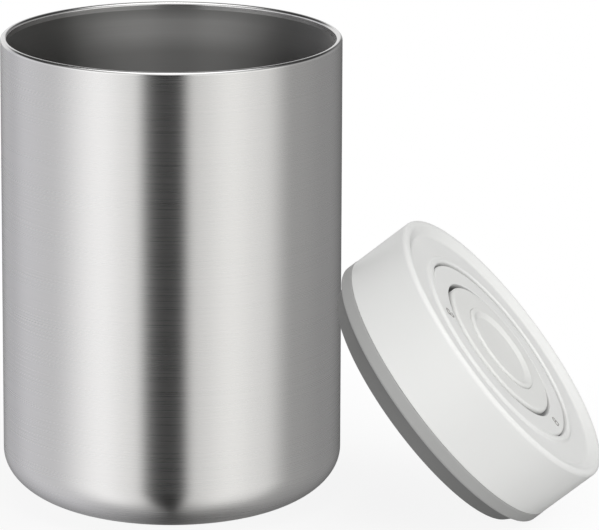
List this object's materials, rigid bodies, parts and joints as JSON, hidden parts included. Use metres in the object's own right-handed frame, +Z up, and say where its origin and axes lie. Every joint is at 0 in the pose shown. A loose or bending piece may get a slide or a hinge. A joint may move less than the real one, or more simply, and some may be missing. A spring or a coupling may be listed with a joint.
{
  "type": "vacuum seal canister",
  "caption": "Open double-walled steel food canister with its white hand-pump vacuum lid taken off and leaning against it, grey silicone seal towards the wall.",
  "frame": {"origin": "on the canister's axis, at the plane it stands on", "axes": "+Z up along the canister's axis, +X towards the lid that leans beside it"},
  "size_m": [0.2119, 0.1355, 0.168],
  "materials": {
    "brushed_steel": "satin, fine brushing round the wall",
    "liner_steel": "satin, matte inside",
    "white_plastic": "satin moulded plastic",
    "grey_plastic": "matte moulded plastic",
    "grey_silicone": "matte silicone",
    "steel_hardware": "plated",
    "filter_felt": "white felt"
  },
  "bodies": {
    "canister": {"outer_shell": "brushed_steel", "inner_liner": "liner_steel", "base_cap": "brushed_steel"},
    "lid": {"lid_housing": "white_plastic", "lid_base": "grey_plastic", "seal_ring": "grey_silicone", "ring_retainer": "grey_plastic", "retainer_screws": "steel_hardware", "pump_cylinder": "grey_plastic", "cylinder_gasket": "grey_silicone", "cylinder_screws": "steel_hardware", "inlet_valve": "grey_silicone", "intake_filter": "filter_felt", "intake_cover": "grey_plastic", "vent_tube": "grey_plastic", "return_spring": "steel_hardware"},
    "turning_ring": {"lock_ring": "white_plastic", "vent_pad": "grey_silicone"},
    "pump": {"pump_button": "white_plastic", "button_pad": "white_plastic", "piston": "grey_plastic", "piston_seal": "grey_silicone", "outlet_valve": "grey_silicone", "piston_screw": "steel_hardware"}
  },
  "joints": [
    {"name": "lid_lift", "type": "slide", "parent": "canister", "child": "lid", "axis": [0, 0, 1], "range_m": [0, 0.15]},
    {"name": "lock_turn", "type": "hinge", "parent": "lid", "child": "turning_ring", "pos_m": [0.09839, -0.01788, 0.04545], "axis": [-0.7625, 0.1386, -0.632], "range_deg": [0, 135]},
    {"name": "pump_press", "type": "slide", "parent": "lid", "child": "pump", "axis": [-0.7625, 0.1386, -0.632], "range_m": [0, 0.008], "stiffness_N_per_m": 300, "springref_m": -0.01, "deforming": ["return_spring"]}
  ]
}
